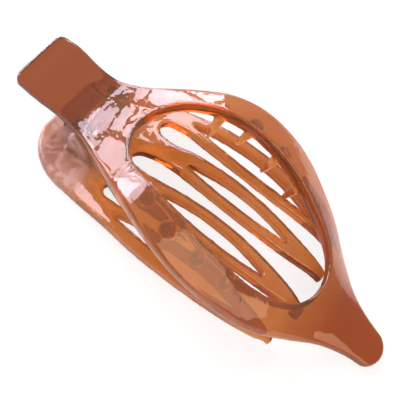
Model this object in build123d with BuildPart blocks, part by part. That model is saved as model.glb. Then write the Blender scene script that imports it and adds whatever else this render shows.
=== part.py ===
from build123d import *

import os
from math import cos, pi, sin, sqrt

# A flat-lying claw clip. X runs from the finger tab to the duck-bill tip, Y across, Z up.
# The clip lies shut on the rear edge of its tail and on the tip of its upper jaw.
# The origin is under the middle of the clip, on the surface that it lies on. Millimetres.

# Whole clip
clip_length = 109.4
clip_height = 26.8
tip_end = clip_length / 2
tab_end = -clip_length / 2
edge_rounding = 0.6
overrun = 1.0
shell_stations = 28
comb_stations = 20

# Hinge: a steel pin across the clip through two lugs of each jaw
hinge_inset = 20.1
hinge_height = 8.2
pin_diameter = 1.4
pin_running_clearance = 0.05
lug_radius = 2.3
lug_thickness = 2.0
upper_lug_inner = 5.2
lug_gap = 0.3
lug_front_reach = 6.6
lug_rear_reach = 1.9

# Torsion spring: a coil round the pin, with a leg to the tail and a leg to the tab
spring_wire = 0.8
coil_radius = 2.05
coil_pitch = 1.3
coil_turns = 5
half_turn_share = 0.5
leg_length = 5.8
leg_bend_radius = 0.6
foot_length = 0.25
foot_clearance = 0.3

# Upper jaw: a flat tab, a neck, a domed ring and a flat tip, one moulding
tab_half_width = 9.0
tab_thickness = 2.4
tab_corner = 2.6
ring_half_width = 24.0
ring_fall = 6.0
ring_thickness = 3.2
rim_depth = 2.0
tip_half_width = 4.2
tip_thickness = 2.4
tip_fall = 0.02
tip_corner = 4.7

# The tab lies over the spring's upper foot. Rows are shares of the clip's length, of the tab's
# height, half width and thickness, and of the ring's fall from its middle to its side.
tab_height = hinge_height + coil_radius + leg_bend_radius + foot_length + foot_clearance + tab_thickness
tab_shares = [
    (0.000, 1.069, 1.000, 0.96, 0.003),
    (0.073, 1.029, 0.989, 0.96, 0.003),
    (0.137, 0.994, 0.937, 1.00, 0.008),
    (0.192, 1.051, 1.070, 1.10, 0.068),
]
# Rows of the ring: shares of the clip's length and height, of the ring's half width, thickness
# and fall, and of how much deeper it is in the middle, where the window's rim is
ring_shares = [
    (0.247, 0.646, 0.535, 0.94, 0.232, 0.50),
    (0.311, 0.810, 0.695, 1.06, 0.458, 0.60),
    (0.384, 0.963, 0.855, 1.03, 0.725, 0.90),
    (0.457, 1.000, 0.962, 0.98, 0.925, 1.00),
    (0.530, 0.940, 1.000, 1.00, 1.000, 1.00),
    (0.603, 0.832, 0.968, 1.05, 0.985, 1.00),
    (0.676, 0.678, 0.876, 1.09, 0.945, 1.00),
    (0.740, 0.563, 0.752, 1.02, 1.010, 0.45),
    (0.804, 0.414, 0.550, 0.93, 0.840, 0.20),
    (0.868, 0.264, 0.345, 0.86, 0.410, 0.10),
    (0.932, 0.164, 0.229, 0.81, 0.120, 0.05),
]

# Window in the ring, as shares of the clip's length and of the window's half width
window_half_width = 15.6
window_shares = [
    (0.2740, 0.000),
    (0.2850, 0.330),
    (0.3190, 0.655),
    (0.3720, 0.830),
    (0.4400, 0.937),
    (0.5200, 1.000),
    (0.5900, 0.985),
    (0.6670, 0.887),
    (0.7310, 0.710),
    (0.7740, 0.460),
    (0.7950, 0.000),
]

# Four round teeth under each side of the ring
tooth_length = 10.4
tooth_root_radius = 1.8
tooth_tip_radius = 0.6
# Each tooth: shares of length and half width, its lean along the clip and inwards, its length
tooth_shares = [
    (0.393, 0.721, 0.07, 0.72, 1.04),
    (0.475, 0.792, -0.24, 0.47, 0.98),
    (0.555, 0.808, -0.25, 0.62, 0.98),
    (0.633, 0.752, -0.38, 0.68, 0.87),
]

# Lower jaw: a flat tail, a bend and an arched comb of four prongs, one moulding
comb_top = 9.5
comb_half_width = 21.2
comb_fall = 1.35
comb_thickness = 2.9

# Rows of the comb: shares of the clip's length, and of the comb's height, thickness and fall
comb_shares = [
    (0.091, 0.2480, 0.812, 0.007),
    (0.155, 0.2890, 0.810, 0.007),
    (0.219, 0.3470, 0.800, 0.037),
    (0.274, 0.4700, 0.830, 0.222),
    (0.329, 0.6700, 0.880, 0.519),
    (0.384, 0.8600, 0.960, 0.815),
    (0.448, 0.9900, 1.000, 0.963),
    (0.512, 1.0500, 1.000, 1.000),
    (0.576, 1.0550, 1.000, 1.074),
    (0.640, 1.0100, 1.000, 1.333),
    (0.695, 0.9450, 1.000, 2.200),
    (0.750, 0.8600, 0.960, 4.900),
    (0.814, 0.5900, 0.860, 7.700),
]

# Side of the comb from its rear corner to its front, as shares of length and half width
comb_side_shares = [
    (0.0930, 0.330),
    (0.1010, 0.480),
    (0.1190, 0.620),
    (0.1490, 0.743),
    (0.1830, 0.815),
    (0.2360, 0.854),
    (0.2930, 0.895),
    (0.3660, 0.950),
    (0.4110, 0.988),
    (0.4570, 1.008),
    (0.5160, 1.014),
    (0.5760, 1.000),
    (0.6400, 0.962),
    (0.6860, 0.913),
    (0.7310, 0.835),
    (0.7820, 0.740),
]
# Fronts of the inner prongs, under the ring
inner_front_share = 0.790

# Gap between the two inner prongs: a round rear end, a waist and a wide mouth
centre_gap_shares = [
    (0.2880, 0.000),
    (0.2960, 0.068),
    (0.3250, 0.118),
    (0.3660, 0.127),
    (0.4300, 0.102),
    (0.5030, 0.081),
    (0.6220, 0.089),
    (0.6950, 0.124),
    (0.7770, 0.190),
    (0.8200, 0.225),
]

# Gap between an inner and an outer prong: its inner side, its round rear end, its outer side
side_gap_shares = [
    (0.8200, 0.325),
    (0.7630, 0.350),
    (0.6950, 0.388),
    (0.5940, 0.439),
    (0.5030, 0.456),
    (0.4020, 0.438),
    (0.3290, 0.408),
    (0.2980, 0.464),
    (0.2900, 0.548),
    (0.2980, 0.619),
    (0.3290, 0.650),
    (0.4110, 0.612),
    (0.5030, 0.583),
    (0.5940, 0.586),
    (0.6500, 0.610),
    (0.6950, 0.638),
    (0.7630, 0.675),
    (0.8200, 0.700),
]

# Leaf-shaped slots: rear point, inner side, front point and outer side
inner_leaf_shares = [(0.388, 0.250), (0.520, 0.172), (0.694, 0.262), (0.520, 0.350)]
outer_leaf_shares = [(0.339, 0.780), (0.490, 0.678), (0.695, 0.748), (0.490, 0.866)]

pin_x = tab_end + hinge_inset
lower_lug_inner = upper_lug_inner + lug_thickness + lug_gap
lower_lug_outer = lower_lug_inner + lug_thickness


def along(share):
    """Place along the clip, from a share of its length measured from the tab's end."""
    return tab_end + share * clip_length


def shell_rows():
    """Rows of the upper jaw: place, top, half width, thickness, fall and depth in the middle."""
    rows = []
    for length_share, height_share, width_share, thickness_share, fall_share in tab_shares:
        rows.append(
            (
                along(length_share),
                height_share * tab_height,
                width_share * tab_half_width,
                thickness_share * tab_thickness,
                fall_share * ring_fall,
                0,
            )
        )
    for length_share, height_share, width_share, thickness_share, fall_share, rim_share in ring_shares:
        rows.append(
            (
                along(length_share),
                height_share * clip_height,
                width_share * ring_half_width,
                thickness_share * ring_thickness,
                fall_share * ring_fall,
                rim_share * rim_depth,
            )
        )
    rows.append((tip_end, tip_thickness + tip_fall, tip_half_width, tip_thickness, tip_fall, 0))
    return rows


def comb_rows():
    """Rows of the lower jaw, in the same order, all of them wider than its plan."""
    rows = []
    for length_share, height_share, thickness_share, fall_share in comb_shares:
        rows.append(
            (
                along(length_share),
                height_share * comb_top,
                comb_half_width + overrun,
                thickness_share * comb_thickness,
                fall_share * comb_fall,
                0,
            )
        )
    return rows


def slope(rows, index):
    """How fast each value of a table changes at one of its rows."""
    before = rows[max(index - 1, 0)]
    after = rows[min(index + 1, len(rows) - 1)]
    return [(last - first) / (after[0] - before[0]) for first, last in zip(before, after)]


def row_at(rows, place):
    """The row at any place along the clip, on smooth curves through a table's rows."""
    index = max(number for number in range(len(rows) - 1) if rows[number][0] <= place)
    span = rows[index + 1][0] - rows[index][0]
    part = (place - rows[index][0]) / span
    weights = (
        (1 + 2 * part) * (1 - part) ** 2,
        part * (1 - part) ** 2 * span,
        part**2 * (3 - 2 * part),
        part**2 * (part - 1) * span,
    )
    knots = (rows[index], slope(rows, index), rows[index + 1], slope(rows, index + 1))
    return [sum(weight * value for weight, value in zip(weights, values)) for values in zip(*knots)]


def crowned_section(row):
    """A closed band across the clip, crowned above and below, with round corners."""
    place, top, half_width, thickness, fall, depth = row
    side_top = top - fall
    with BuildSketch(Plane.YZ.offset(place)) as section:
        with BuildLine():
            ThreePointArc((-half_width, side_top), (0, top), (half_width, side_top))
            Line((half_width, side_top), (half_width, side_top - thickness))
            ThreePointArc(
                (half_width, side_top - thickness),
                (0, top - thickness - depth),
                (-half_width, side_top - thickness),
            )
            Line((-half_width, side_top - thickness), (-half_width, side_top))
        make_face()
        fillet(section.vertices(), edge_rounding)
    return section.sketch


def even_sections(rows, count):
    """Sections at even steps from a table's first row to its last."""
    start = rows[0][0]
    step = (rows[-1][0] - start) / (count - 1)
    return [crowned_section(row_at(rows, start + number * step)) for number in range(count)]


def biarc(start, start_tangent, end, end_tangent):
    """Two arcs in one smooth line between two points with the given directions."""
    chord = end - start
    both = start_tangent + end_tangent
    spread = 2 * (1 - start_tangent.dot(end_tangent))
    along_chord = chord.dot(both)
    reach = chord.dot(chord) / (along_chord + sqrt(along_chord**2 + spread * chord.dot(chord)))
    first_corner = start + start_tangent * reach
    second_corner = end - end_tangent * reach
    joint = (first_corner + second_corner) / 2
    joint_tangent = (second_corner - first_corner).normalized()
    TangentArc(start, joint, tangent=start_tangent)
    TangentArc(joint, end, tangent=joint_tangent)


def arc_line(points, first_tangent, last_tangent):
    """A smooth line of arcs through points of a plan, with the given directions at its ends."""
    places = [Vector(*point) for point in points]
    tangents = [first_tangent]
    for before, here, after in zip(places, places[1:], places[2:]):
        arriving = here - before
        leaving = after - here
        tangents.append((arriving / arriving.length**2 + leaving / leaving.length**2).normalized())
    tangents.append(last_tangent)
    for number in range(len(places) - 1):
        biarc(places[number], tangents[number], places[number + 1], tangents[number + 1])


def placed(shares, half_width):
    """Points of an outline from shares of the clip's length and of a half width."""
    points = []
    for length_share, width_share in shares:
        points.append((along(length_share), width_share * half_width))
    return points


def window_plan():
    """Plan of the window, one smooth closed line of arcs."""
    with BuildSketch(Plane.XY) as plan:
        with BuildLine():
            arc_line(placed(window_shares, window_half_width), Vector(0, 1, 0), Vector(0, -1, 0))
            mirror(about=Plane.XZ)
        make_face()
    return plan.sketch


def comb_plan():
    """Plan of the comb: its outline less the three gaps and the four leaf-shaped slots."""
    forwards = Vector(1, 0, 0)
    sideways = Vector(0, 1, 0)
    side_points = placed(comb_side_shares, comb_half_width)
    inner_front = along(inner_front_share)
    step = (side_gap_shares[1][1] + side_gap_shares[-2][1]) / 2 * comb_half_width
    with BuildSketch(Plane.XY) as plan:
        with BuildLine():
            Line((side_points[0][0], 0), side_points[0])
            arc_line(side_points, sideways, forwards)
            Polyline(
                side_points[-1],
                (side_points[-1][0], step),
                (inner_front, step),
                (inner_front, 0),
                (side_points[0][0], 0),
            )
        make_face()
        with BuildLine():
            gap_points = placed(side_gap_shares, comb_half_width)
            arc_line(gap_points, -forwards, forwards)
            Line(gap_points[-1], gap_points[0])
        make_face(mode=Mode.SUBTRACT)
        for leaf_shares in (inner_leaf_shares, outer_leaf_shares):
            rear, inner, front, outer = placed(leaf_shares, comb_half_width)
            with BuildLine():
                ThreePointArc(rear, inner, front)
                ThreePointArc(front, outer, rear)
            make_face(mode=Mode.SUBTRACT)
        mirror(about=Plane.XZ)
        with BuildLine():
            gap_points = placed(centre_gap_shares, comb_half_width)
            arc_line(gap_points, sideways, forwards)
            Line(gap_points[-1], (gap_points[-1][0], 0))
            mirror(about=Plane.XZ)
        make_face(mode=Mode.SUBTRACT)
    return plan.sketch


def end_corners(rows):
    """Plan of what is cut off the upper jaw's four corners, to round its two ends."""
    with BuildSketch(Plane.XY) as corners:
        for end, inwards, radius in ((tab_end, 1, tab_corner), (tip_end, -1, tip_corner)):
            centre_x = end + inwards * radius
            centre_y = row_at(rows, centre_x)[2] - radius
            for side in (-1, 1):
                with Locations((centre_x, side * centre_y)):
                    Rectangle(
                        2 * radius,
                        2 * radius,
                        align=(
                            Align.MAX if inwards > 0 else Align.MIN,
                            Align.MIN if side > 0 else Align.MAX,
                        ),
                    )
                    Circle(radius, mode=Mode.SUBTRACT)
    return corners.sketch


def lug(inner, base_height, front_reach, rear_reach, bore_radius, side):
    """A lug beside the coil: round about the pin, widening to its base, and bored."""
    with BuildPart() as plate:
        with BuildSketch(Plane.XZ.offset(-side * inner)) as outline:
            with Locations((pin_x, hinge_height)):
                Circle(lug_radius)
            with BuildLine():
                Polyline(
                    (pin_x - rear_reach, base_height),
                    (pin_x + front_reach, base_height),
                    (pin_x + lug_radius, hinge_height),
                    (pin_x - rear_reach, hinge_height),
                    close=True,
                )
            make_face()
            with Locations((pin_x, hinge_height)):
                Circle(bore_radius, mode=Mode.SUBTRACT)
        extrude(amount=-side * lug_thickness)
    return plate.part


def tooth(top, axis, sunk, length):
    """A round tapered tooth with a ball end, from inside the ring's wall down to its tip."""
    across = axis.cross(Vector(1, 0, 0))
    with BuildPart(Plane(origin=top + axis * sunk, x_dir=across, z_dir=axis)) as peg:
        Cone(
            tooth_root_radius,
            tooth_tip_radius,
            length - sunk - tooth_tip_radius,
            align=(Align.CENTER, Align.CENTER, Align.MIN),
        )
        with Locations((0, 0, length - sunk - tooth_tip_radius)):
            Sphere(tooth_tip_radius)
    return peg.part


def coil_point(angle):
    """Point of the coil's centre line at the given angle from the front, in radians."""
    turns = (angle + pi / 2) / (2 * pi)
    y = -coil_pitch * (coil_turns + half_turn_share) / 2 + coil_pitch * turns
    return Vector(pin_x + coil_radius * cos(angle), y, hinge_height + coil_radius * sin(angle))


def coil_tangent(angle):
    """Direction of the coil's centre line at the given angle."""
    return Vector(-coil_radius * sin(angle), coil_pitch / (2 * pi), coil_radius * cos(angle)).normalized()


def spring_leg(start, towards, foot_direction, foot_height):
    """A straight leg from the coil's end, a bend and a short foot square to the plate."""
    corner = start + towards * (leg_length + leg_bend_radius)
    bend_start = start + towards * leg_length
    bend_end = corner + foot_direction * leg_bend_radius
    Line(start, bend_start)
    TangentArc(bend_start, bend_end, tangent=towards)
    Line(bend_end, Vector(bend_end.X, bend_end.Y, foot_height))


# Upper jaw
shell = shell_rows()
bore_clear = pin_diameter / 2 + pin_running_clearance
hinge_row = row_at(shell, pin_x)
lug_seat = hinge_row[1] - hinge_row[3] / 2
with BuildPart() as upper_jaw:
    loft(even_sections(shell, shell_stations))
    extrude(window_plan(), amount=clip_height + overrun, mode=Mode.SUBTRACT)
    extrude(end_corners(shell), amount=clip_height, both=True, mode=Mode.SUBTRACT)
    teeth = []
    for length_share, width_share, lean_share, inward_share, tooth_share in tooth_shares:
        place, top, half_width, thickness, fall, depth = row_at(shell, along(length_share))
        across = width_share * ring_half_width
        surface = top - fall * (across / half_width) ** 2
        for side in (-1, 1):
            axis = Vector(lean_share, -side * inward_share, -1).normalized()
            centre = Vector(place, side * across, surface)
            teeth.append(tooth(centre, axis, thickness / 2, tooth_share * tooth_length))
    add(teeth)
    for side in (-1, 1):
        add(lug(upper_lug_inner, lug_seat, lug_radius, lug_radius, bore_clear, side))

os.makedirs("parts", exist_ok=True)
upper_jaw.part.label = "upper_jaw"
export_step(upper_jaw.part, "parts/upper_jaw.step")

# Lower jaw
comb = comb_rows()
comb_hinge_row = row_at(comb, pin_x)
tail_seat = comb_hinge_row[1] - comb_hinge_row[3] / 2
with BuildPart() as lower_jaw:
    loft(even_sections(comb, comb_stations))
    extrude(comb_plan(), amount=clip_height, mode=Mode.INTERSECT)
    for side in (-1, 1):
        add(lug(lower_lug_inner, tail_seat, lug_front_reach, lug_rear_reach, pin_diameter / 2, side))
lower_jaw.part.label = "lower_jaw"
export_step(lower_jaw.part, "parts/lower_jaw.step")

# Hinge pin, flush with the outer faces of the lower lugs
with BuildPart() as hinge_pin:
    with BuildSketch(Plane.XZ.offset(-lower_lug_outer)):
        with Locations((pin_x, hinge_height)):
            Circle(pin_diameter / 2)
    extrude(amount=2 * lower_lug_outer)
hinge_pin.part.label = "hinge_pin"
export_step(hinge_pin.part, "parts/hinge_pin.step")

# Torsion spring: from the foot on the tail, round the pin, to the foot under the tab
foot_x = pin_x - leg_length - leg_bend_radius
tab_row = row_at(shell, foot_x)
upper_foot_height = tab_row[1] - tab_row[3] - foot_clearance
lower_foot_height = row_at(comb, foot_x)[1] + foot_clearance
first_angle = -pi / 2
last_angle = pi / 2 + 2 * pi * coil_turns
step_count = 2 * coil_turns + 1
with BuildPart() as torsion_spring:
    with BuildLine() as spring_line:
        for step in range(step_count):
            start_angle = first_angle + step * pi
            end_angle = start_angle + pi
            biarc(
                coil_point(start_angle),
                coil_tangent(start_angle),
                coil_point(end_angle),
                coil_tangent(end_angle),
            )
        lower_end = coil_point(first_angle)
        upper_end = coil_point(last_angle)
        spring_leg(lower_end, -coil_tangent(first_angle), Vector(0, 0, -1), lower_foot_height)
        spring_leg(upper_end, coil_tangent(last_angle), Vector(0, 0, 1), upper_foot_height)
    foot = spring_line.vertices().sort_by(Axis.Z)[0]
    with BuildSketch(Plane.XY.offset(lower_foot_height)):
        with Locations((foot.X, foot.Y)):
            Circle(spring_wire / 2)
    sweep(path=spring_line.wires()[0])
torsion_spring.part.label = "torsion_spring"
export_step(torsion_spring.part, "parts/torsion_spring.step")

# Least gap between two places of the wire that lie more than half a turn apart
samples = 60 * coil_turns
angles = [first_angle + (last_angle - first_angle) * index / samples for index in range(samples + 1)]
least = min(
    (coil_point(first) - coil_point(second)).length
    for first in angles
    for second in angles
    if second - first > pi
)
print("least gap of the spring to itself:", round(least - spring_wire, 3))
plain_volume = spring_line.wires()[0].length * pi * spring_wire**2 / 4
print("spring volume and its wire's length times section:", torsion_spring.part.volume, plain_volume)
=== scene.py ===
# %% [markdown]
# # A translucent claw clip
# The clip is two mouldings of clear amber plastic on a steel pin, with a small wound spring.
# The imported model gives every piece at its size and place, so the looks are built round it:
# smooth copies of the two mouldings, their plastic, the steel, the light and the camera.

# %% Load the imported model
from math import cos, pi, radians, sin

import bpy
from mathutils import Matrix, Vector


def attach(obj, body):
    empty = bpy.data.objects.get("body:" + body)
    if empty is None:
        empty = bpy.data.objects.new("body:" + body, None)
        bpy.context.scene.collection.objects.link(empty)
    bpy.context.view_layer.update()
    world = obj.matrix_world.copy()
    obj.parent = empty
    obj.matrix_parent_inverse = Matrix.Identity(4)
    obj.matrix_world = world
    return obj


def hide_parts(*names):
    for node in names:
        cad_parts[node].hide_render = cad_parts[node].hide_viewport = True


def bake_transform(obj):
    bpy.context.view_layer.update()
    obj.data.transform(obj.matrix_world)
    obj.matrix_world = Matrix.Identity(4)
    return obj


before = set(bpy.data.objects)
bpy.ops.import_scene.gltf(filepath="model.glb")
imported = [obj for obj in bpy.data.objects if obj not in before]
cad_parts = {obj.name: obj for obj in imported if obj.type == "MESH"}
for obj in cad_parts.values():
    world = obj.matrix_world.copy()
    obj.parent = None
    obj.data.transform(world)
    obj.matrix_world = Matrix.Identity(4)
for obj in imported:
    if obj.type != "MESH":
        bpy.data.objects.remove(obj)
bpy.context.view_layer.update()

millimetre = 0.001


# %% [markdown]
# A material is a small graph of nodes. One function adds a node, sets its values and links its
# inputs, and another turns the hex colours that a picture gives into the linear ones of light.

# %% Helpers for materials
srgb_knee = 0.04045
srgb_slope = 12.92
srgb_offset = 0.055
srgb_power = 2.4


def linear(hex_colour):
    """Linear RGBA of an sRGB hex colour."""
    channels = []
    for start in (1, 3, 5):
        value = int(hex_colour[start:start + 2], 16) / 255
        curved = ((value + srgb_offset) / (1 + srgb_offset)) ** srgb_power
        channels.append(value / srgb_slope if value <= srgb_knee else curved)
    return (*channels, 1.0)


def add_node(tree, kind, values=None, links=None, **settings):
    """A node of the given kind with its input values, its links and its settings."""
    node = tree.nodes.new(kind)
    for name, value in settings.items():
        setattr(node, name, value)
    for socket, value in (values or {}).items():
        node.inputs[socket].default_value = value
    for socket, source in (links or {}).items():
        tree.links.new(source, node.inputs[socket])
    return node


def new_material(name):
    """An empty material and its node tree."""
    material = bpy.data.materials.new(name)
    material.use_nodes = True
    material.node_tree.nodes.clear()
    return material, material.node_tree


def give_material(piece, material):
    """Makes a material the only one of a piece."""
    piece.data.materials.clear()
    piece.data.materials.append(material)


# %% [markdown]
# The plastic is a clear amber acrylic, injection moulded and polished by its mould. Where the melt
# flowed, the skin is faintly wavy and a little hazy. A bump with waves of about 5 mm breaks up the
# reflections as those waves do, and the same noise moves the roughness between two low values.

# %% Waves and haze of the skin
flow_wave_size = 5.0
flow_wave_height = 0.15
flow_detail = 2.5
flow_fineness = 0.5
least_haze = 0.015
most_haze = 0.05


def flow_waves(tree, place):
    """The noise of the melt's flow, the bump that it gives and its faint haze."""
    flow = add_node(
        tree,
        "ShaderNodeTexNoise",
        {
            "Scale": 1 / (flow_wave_size * millimetre),
            "Detail": flow_detail,
            "Roughness": flow_fineness,
        },
        {"Vector": place.outputs["Object"]},
    )
    wave = add_node(
        tree,
        "ShaderNodeBump",
        {"Strength": 1.0, "Distance": flow_wave_height * millimetre},
        {"Height": flow.outputs["Fac"]},
    )
    haze = add_node(
        tree,
        "ShaderNodeMapRange",
        {"To Min": least_haze, "To Max": most_haze},
        {"Value": flow.outputs["Fac"]},
    )
    return flow, wave, haze


# %% [markdown]
# The highlights on the real clip come and go in patches. A second noise, with its contrast raised
# so that its patches have clear edges, sets how strongly the skin mirrors.

# %% Patches of gloss
patch_size = 4.0
patch_detail = 2.0
patch_twist = 0.8
patch_low = 0.42
patch_high = 0.58
least_gloss = 0.18
most_gloss = 0.62


def gloss_patches(tree, place):
    """The noise of the patches, and the gloss that it gives."""
    patches = add_node(
        tree,
        "ShaderNodeTexNoise",
        {
            "Scale": 1 / (patch_size * millimetre),
            "Detail": patch_detail,
            "Distortion": patch_twist,
        },
        {"Vector": place.outputs["Object"]},
    )
    gloss = add_node(
        tree,
        "ShaderNodeMapRange",
        {
            "From Min": patch_low,
            "From Max": patch_high,
            "To Min": least_gloss,
            "To Max": most_gloss,
        },
        {"Value": patches.outputs["Fac"]},
    )
    return patches, gloss


# %% [markdown]
# The skin tints the light that passes it. The tint is a light amber in the middle of the clip,
# uneven with the flow, and deeper towards both ends, brown at the tab and more orange at the tip.

# %% Tint of the plastic
fade_start = 24.0
fade_end = 42.0
light_amber = "#F0B476"
deep_amber = "#CE8850"
tab_brown = "#AA6A48"
tip_orange = "#B8662C"


def tinted(tree, flow, axes):
    """The tint of the plastic, which follows the flow and the place along the clip."""
    middle = add_node(
        tree,
        "ShaderNodeMix",
        {"A": linear(light_amber), "B": linear(deep_amber)},
        {"Factor": flow.outputs["Fac"]},
        data_type="RGBA",
    )
    from_middle = add_node(
        tree,
        "ShaderNodeMath",
        links={0: axes.outputs["X"]},
        operation="ABSOLUTE",
    )
    towards_end = add_node(
        tree,
        "ShaderNodeMapRange",
        {"From Min": fade_start * millimetre, "From Max": fade_end * millimetre},
        {"Value": from_middle.outputs[0]},
        interpolation_type="SMOOTHSTEP",
    )
    past_middle = add_node(
        tree,
        "ShaderNodeMapRange",
        {"From Min": -fade_start * millimetre, "From Max": fade_start * millimetre},
        {"Value": axes.outputs["X"]},
    )
    ends = add_node(
        tree,
        "ShaderNodeMix",
        {"A": linear(tab_brown), "B": linear(tip_orange)},
        {"Factor": past_middle.outputs["Result"]},
        data_type="RGBA",
    )
    return add_node(
        tree,
        "ShaderNodeMix",
        links={
            "Factor": towards_end.outputs["Result"],
            "A": middle.outputs["Result"],
            "B": ends.outputs["Result"],
        },
        data_type="RGBA",
    )


# %% [markdown]
# The tail of the real clip looks pale and a little pink, most likely from a reflection. The tail of
# the real clip looks pale and a little pink, and the picture doesn't show why. One more softbox
# doesn't do it here, because the tail mirrors nearly the same place as the brown tab does.
# So the reflection is painted on: the tail's skin is made rougher, less clear and paler pink in
# patches. This painted sheen is a choice for the look, and not wear that is known to be there.

# %% Painted sheen on the tail
sheen_start = -24.0
sheen_end = -32.0
tail_roughness = 0.25
clear_share = 0.86
sheen_clear_share = 0.35
least_pale = 0.45
most_pale = 0.95
# Pale pink of the painted reflection on the tail.
painted_sheen_pink = "#C8A6A0"


def paint_tail_sheen(tree, skin, axes, patches, haze, tint):
    """Makes the tail's end of a skin rougher and less clear, and paints a pale pink sheen on it."""
    sheen_reach = add_node(
        tree,
        "ShaderNodeMapRange",
        {"From Min": sheen_start * millimetre, "From Max": sheen_end * millimetre},
        {"Value": axes.outputs["X"]},
        interpolation_type="SMOOTHSTEP",
    )
    rough = add_node(
        tree,
        "ShaderNodeMath",
        {1: tail_roughness},
        {0: sheen_reach.outputs["Result"], 2: haze.outputs["Result"]},
        operation="MULTIPLY_ADD",
    )
    mottle = add_node(
        tree,
        "ShaderNodeMapRange",
        {
            "From Min": patch_low,
            "From Max": patch_high,
            "To Min": least_pale,
            "To Max": most_pale,
        },
        {"Value": patches.outputs["Fac"]},
    )
    pale = add_node(
        tree,
        "ShaderNodeMath",
        links={0: sheen_reach.outputs["Result"], 1: mottle.outputs["Result"]},
        operation="MULTIPLY",
    )
    clear = add_node(
        tree,
        "ShaderNodeMapRange",
        {"To Min": clear_share, "To Max": sheen_clear_share},
        {"Value": pale.outputs[0]},
    )
    # The tint goes towards pale pink in patches here, which is a painted reflection on the tail.
    sheen_tint = add_node(
        tree,
        "ShaderNodeMix",
        {"B": linear(painted_sheen_pink)},
        {"Factor": pale.outputs[0], "A": tint.outputs["Result"]},
        data_type="RGBA",
    )
    tree.links.new(sheen_tint.outputs["Result"], skin.inputs["Base Color"])
    tree.links.new(rough.outputs[0], skin.inputs["Roughness"])
    tree.links.new(clear.outputs["Result"], skin.inputs["Transmission Weight"])


# %% [markdown]
# The whole material puts these together, with acrylic's refractive index. Under the tinted skin
# the solid absorbs light as well, so thick places are darker and redder than thin ones. What is
# the same all over, such as the clearness of the upper moulding, is set on the shader itself.

# %% Amber acrylic
acrylic_ior = 1.49
passed_colour = "#E6BE6C"
absorption_per_metre = 600.0


def amber_acrylic(name, painted_tail_sheen):
    """Clear amber acrylic, moulded and glossy, with a painted pale sheen on the tail where that is
    asked for.
    """
    material, tree = new_material(name)
    place = add_node(tree, "ShaderNodeTexCoord")
    axes = add_node(tree, "ShaderNodeSeparateXYZ", links={"Vector": place.outputs["Object"]})
    flow, wave, haze = flow_waves(tree, place)
    patches, gloss = gloss_patches(tree, place)
    tint = tinted(tree, flow, axes)
    skin = add_node(
        tree,
        "ShaderNodeBsdfPrincipled",
        {"IOR": acrylic_ior, "Transmission Weight": clear_share},
        {
            "Base Color": tint.outputs["Result"],
            "Roughness": haze.outputs["Result"],
            "Specular IOR Level": gloss.outputs["Result"],
            "Normal": wave.outputs["Normal"],
        },
    )
    if painted_tail_sheen:
        paint_tail_sheen(tree, skin, axes, patches, haze, tint)
    inside = add_node(
        tree,
        "ShaderNodeVolumeAbsorption",
        {"Color": linear(passed_colour), "Density": absorption_per_metre},
    )
    add_node(
        tree,
        "ShaderNodeOutputMaterial",
        links={"Surface": skin.outputs["BSDF"], "Volume": inside.outputs["Volume"]},
    )
    print(name, "has", len(tree.nodes), "nodes")
    return material


# %% [markdown]
# The pin and the spring are drawn steel wire, bright and nearly white. The drawing leaves the
# polish uneven, and a fine noise in the roughness shows that as small spots of softer shine.

# %% Spring steel
polish_grain = 0.4
polish_detail = 3.0
least_steel_roughness = 0.18
most_steel_roughness = 0.38
steel_white = "#C9C6C1"


def spring_steel():
    """Drawn steel wire, bright, with a finely uneven polish."""
    material, tree = new_material("drawn_spring_steel")
    place = add_node(tree, "ShaderNodeTexCoord")
    polish = add_node(
        tree,
        "ShaderNodeTexNoise",
        {"Scale": 1 / (polish_grain * millimetre), "Detail": polish_detail},
        {"Vector": place.outputs["Object"]},
    )
    rough = add_node(
        tree,
        "ShaderNodeMapRange",
        {"To Min": least_steel_roughness, "To Max": most_steel_roughness},
        {"Value": polish.outputs["Fac"]},
    )
    metal = add_node(
        tree,
        "ShaderNodeBsdfPrincipled",
        {"Base Color": linear(steel_white), "Metallic": 1.0},
        {"Roughness": rough.outputs["Result"]},
    )
    add_node(tree, "ShaderNodeOutputMaterial", links={"Surface": metal.outputs["BSDF"]})
    return material


# %% [markdown]
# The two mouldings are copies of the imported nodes. A copy is merged, covered with an even skin of
# small faces and smoothed, which rounds its edges as a polished mould does and leaves no facets
# for the gloss to show. Smoothing draws the skin in a little, and a small swell afterwards works
# against that. The cost is in the hinge: its bores come out at 0.4 to 0.5 mm radius, less than the
# pin's 0.7 mm, so here the pin passes through plastic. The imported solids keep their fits.

# %% Smooth copies of the mouldings
merge_reach = 0.002 * millimetre
skin_face = 0.3 * millimetre
skin_swell = 0.14 * millimetre
smooth_factor = 0.5
smooth_rounds = 22


def merged_copy(node_name, piece_name):
    """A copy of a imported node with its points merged, which stands for the node."""
    bpy.ops.object.select_all(action="DESELECT")
    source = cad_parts[node_name]
    piece = bpy.data.objects.new(piece_name, source.data.copy())
    bpy.context.scene.collection.objects.link(piece)
    piece.select_set(True)
    bpy.context.view_layer.objects.active = piece
    bpy.ops.object.mode_set(mode="EDIT")
    bpy.ops.mesh.select_all(action="SELECT")
    bpy.ops.mesh.remove_doubles(threshold=merge_reach)
    bpy.ops.object.mode_set(mode="OBJECT")
    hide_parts(node_name)
    return piece


def moulded_copy(node_name, piece_name, body, material):
    """A smooth copy of a packed moulding, with rounded edges."""
    piece = merged_copy(node_name, piece_name)
    skin = piece.modifiers.new("skin", "REMESH")
    skin.mode = "VOXEL"
    skin.voxel_size = skin_face
    skin.use_smooth_shade = True
    bpy.ops.object.modifier_apply(modifier=skin.name)
    smooth = piece.modifiers.new("smooth", "SMOOTH")
    smooth.factor = smooth_factor
    smooth.iterations = smooth_rounds
    bpy.ops.object.modifier_apply(modifier=smooth.name)
    swell = piece.modifiers.new("swell", "DISPLACE")
    swell.strength = skin_swell
    swell.mid_level = 0
    bpy.ops.object.modifier_apply(modifier=swell.name)
    give_material(piece, material)
    bpy.ops.object.shade_smooth()
    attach(piece, body)
    print(piece_name, "has", len(piece.data.polygons), "faces")


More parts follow.
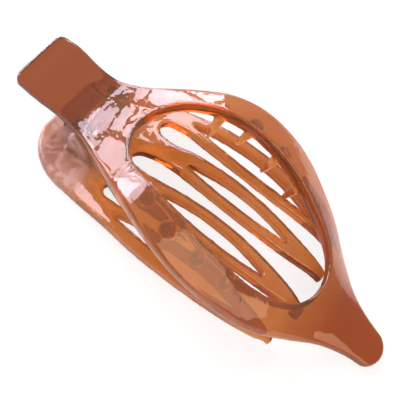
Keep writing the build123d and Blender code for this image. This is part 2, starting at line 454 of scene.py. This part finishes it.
upper_amber = amber_acrylic("amber_acrylic", painted_tail_sheen=False)
# The lower moulding's tail gets the painted pale sheen.
lower_amber = amber_acrylic("amber_acrylic_painted_sheen", painted_tail_sheen=True)
steel = spring_steel()
moulded_copy("upper_jaw", "upper_moulding", "upper", upper_amber)
moulded_copy("lower_jaw", "lower_moulding", "lower", lower_amber)
give_material(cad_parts["hinge_pin"], steel)

# %% [markdown]
# The spring is a merged copy of the imported spring, in steel and shaded smooth, with its place
# written into its points.

spring = merged_copy("torsion_spring", "wound_spring")
give_material(spring, steel)
bpy.ops.object.shade_smooth()
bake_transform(spring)
print("the spring has", len(spring.data.polygons), "faces")

# %% [markdown]
# The clip lies on a white sweep. What the camera sees, straight or through the clear plastic, is
# mostly plain white, and the rest of the paper's light keeps a little of the clip's shadow. All
# other rays, mirrored ones too, find the paper as it is lit and a weaker sky, which lays a thinner
# veil over the amber than the white background would.

# %% Floor and world
floor_size = 3.0
white_share = 0.8
paper_white = "#F7F7F7"
plain_white = "#FFFFFF"
weaker_sky = 0.45


def seen_rays(tree):
    """1 for rays from the camera and through clear plastic, and 0 for others."""
    path = add_node(tree, "ShaderNodeLightPath")
    return add_node(
        tree,
        "ShaderNodeMath",
        links={0: path.outputs["Is Camera Ray"], 1: path.outputs["Is Transmission Ray"]},
        operation="MAXIMUM",
    )


def white_sweep():
    """White paper sweep that keeps part of a shadow."""
    material, tree = new_material("white_paper_sweep")
    seen = seen_rays(tree)
    share = add_node(
        tree,
        "ShaderNodeMath",
        {1: white_share},
        {0: seen.outputs[0]},
        operation="MULTIPLY",
    )
    paper = add_node(tree, "ShaderNodeBsdfDiffuse", {"Color": linear(paper_white)})
    glow = add_node(tree, "ShaderNodeEmission", {"Color": linear(plain_white), "Strength": 1.0})
    both = add_node(
        tree,
        "ShaderNodeMixShader",
        links={0: share.outputs[0], 1: paper.outputs["BSDF"], 2: glow.outputs["Emission"]},
    )
    add_node(tree, "ShaderNodeOutputMaterial", links={"Surface": both.outputs["Shader"]})
    return material


bpy.ops.object.select_all(action="DESELECT")
bpy.ops.mesh.primitive_plane_add(size=floor_size)
floor = bpy.context.object
floor.name = "floor"
give_material(floor, white_sweep())

world = bpy.data.worlds.new("studio")
bpy.context.scene.world = world
world.use_nodes = True
world.node_tree.nodes.clear()
open_sky = add_node(
    world.node_tree,
    "ShaderNodeMapRange",
    {"To Min": weaker_sky, "To Max": 1.0},
    {"Value": seen_rays(world.node_tree).outputs[0]},
)
sky = add_node(
    world.node_tree,
    "ShaderNodeBackground",
    {"Color": linear(plain_white)},
    {"Strength": open_sky.outputs["Result"]},
)
add_node(world.node_tree, "ShaderNodeOutputWorld", links={"Surface": sky.outputs["Background"]})
print("floor:", floor_size, "m, sky:", weaker_sky, "to 1")

# %% [markdown]
# A bank of softboxes stands behind the tail, like the panes of a window. The neck and the ring's
# rear mirror it to the camera, and the waves of the skin break it into pale patches. One more pane
# stands closer to the clip, and is seen from there above the bank. A larger softbox of the same
# brightness stands straight past the tail, and a weak, warm one past the tip, on the camera's side.
# Where no box is mirrored, as on most of the tab's end, the plastic's own colour shows.

# %% Softboxes
pane_size = 0.27
pane_step = 0.33
pane_columns = 5
pane_rows = 3
pane_radiance = 10.5
pane_colour = "#F2ECFF"
bank_place = Vector((-0.96, 0.54, 0.40))
tail_place = Vector((-0.60, 0.30, 0.72))
near_place = Vector((-0.88, -0.05, 0.64))
near_size = 0.42
front_place = Vector((0.60, -0.45, 0.66))
front_size = 0.9
front_radiance = 3.6
front_colour = "#FFDCB8"


def facing_clip(place):
    """The turn of a lamp at a place that makes it face the clip."""
    return (-place).to_track_quat("-Z", "Y")


def softbox(name, place, turn, size, radiance, colour):
    """A square softbox with the given turn, which shines with the given radiance."""
    bpy.ops.object.light_add(type="AREA", location=place)
    lamp = bpy.context.object
    lamp.name = name
    lamp.data.size = size
    lamp.data.color = linear(colour)[:3]
    lamp.data.energy = radiance * pi * size**2
    lamp.rotation_euler = turn.to_euler()


bank_turn = facing_clip(bank_place)
for column in range(pane_columns):
    for row in range(pane_rows):
        across = (column - (pane_columns - 1) / 2) * pane_step
        upwards = (row - (pane_rows - 1) / 2) * pane_step
        place = bank_place + bank_turn @ Vector((across, upwards, 0))
        softbox(f"pane_{column}_{row}", place, bank_turn, pane_size, pane_radiance, pane_colour)

for name, place, size, radiance, colour in (
    ("tail_softbox", tail_place, pane_size, pane_radiance, pane_colour),
    ("near_softbox", near_place, near_size, pane_radiance, pane_colour),
    ("front_softbox", front_place, front_size, front_radiance, front_colour),
):
    softbox(name, place, facing_clip(place), size, radiance, colour)
print("the bank has", pane_columns * pane_rows, "panes")

# %% [markdown]
# The camera stands where the photograph was taken from: above the near side, rolled by about 45
# degrees, with a long lens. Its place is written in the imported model's frame. Its angles are
# written against the line through the clip's two ends. The clip lies on its tail and its tip, so
# that line slopes by about 6 degrees, and the camera is turned by as much.

# %% Camera
lens_length = 81.4
sensor_width = 36.0
frame_shift = (0.0035, -0.003)
camera_place = Vector((9.3, -105.0, 198.2)) * millimetre
view_azimuth = radians(4.2)
view_elevation = radians(61.1)
view_roll = radians(45.15)
end_line_slope = radians(6.2)

ahead = Vector(
    (
        sin(view_azimuth) * cos(view_elevation),
        cos(view_azimuth) * cos(view_elevation),
        -sin(view_elevation),
    )
)
level_right = Vector((cos(view_azimuth), -sin(view_azimuth), 0))
level_up = level_right.cross(ahead)
right = cos(view_roll) * level_right + sin(view_roll) * level_up
up = -sin(view_roll) * level_right + cos(view_roll) * level_up
turn = Matrix((right, up, -ahead)).transposed()
turn = Matrix.Rotation(end_line_slope, 3, "Y") @ turn

camera_data = bpy.data.cameras.new("camera")
camera_data.lens = lens_length
camera_data.sensor_width = sensor_width
camera_data.shift_x, camera_data.shift_y = frame_shift
camera = bpy.data.objects.new("camera", camera_data)
bpy.context.scene.collection.objects.link(camera)
camera.matrix_world = Matrix.Translation(camera_place) @ turn.to_4x4()
bpy.context.scene.camera = camera
bpy.context.scene.view_settings.view_transform = "Standard"
print("camera at", list(camera_place), "with a lens of", lens_length, "mm")
